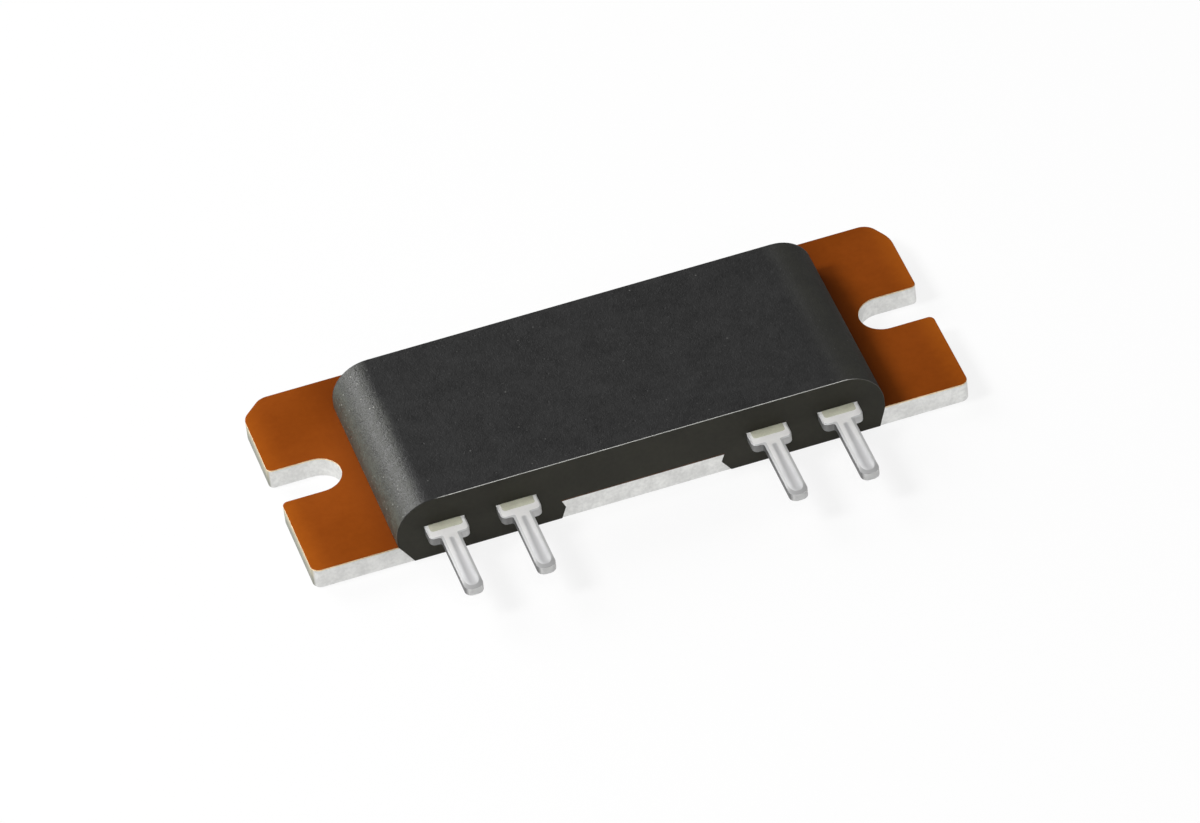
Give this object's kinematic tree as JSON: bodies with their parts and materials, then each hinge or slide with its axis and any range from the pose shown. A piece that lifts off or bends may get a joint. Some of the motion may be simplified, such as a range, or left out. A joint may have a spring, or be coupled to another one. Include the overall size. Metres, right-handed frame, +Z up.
{
  "type": "heat sink power resistor",
  "caption": "Flat power resistor: black moulded body on an aluminium plate with open screw slots at its ends, brown insulating film and flat shouldered leads along one side.",
  "frame": {"origin": "centre of the base plate's underside, which lies on the heat sink", "axes": "+X along the plate from slot to slot, -Y towards the leads, +Z up out of the heat sink"},
  "size_m": [0.046, 0.025, 0.0049],
  "materials": {
    "plate": "matt rolled",
    "film": "satin polyimide film",
    "compound": "matt moulded",
    "tinned": "hot tinned copper",
    "foil": "rolled and etched",
    "solder": "dull"
  },
  "bodies": {
    "root": {"base_plate": "plate", "insulation_film": "film", "resistor_foil": "foil", "current_lead_left": "tinned", "sense_lead_left": "tinned", "sense_lead_right": "tinned", "current_lead_right": "tinned", "current_solder_left": "solder", "sense_solder_left": "solder", "sense_solder_right": "solder", "current_solder_right": "solder", "moulded_body": "compound"}
  },
  "joints": []
}
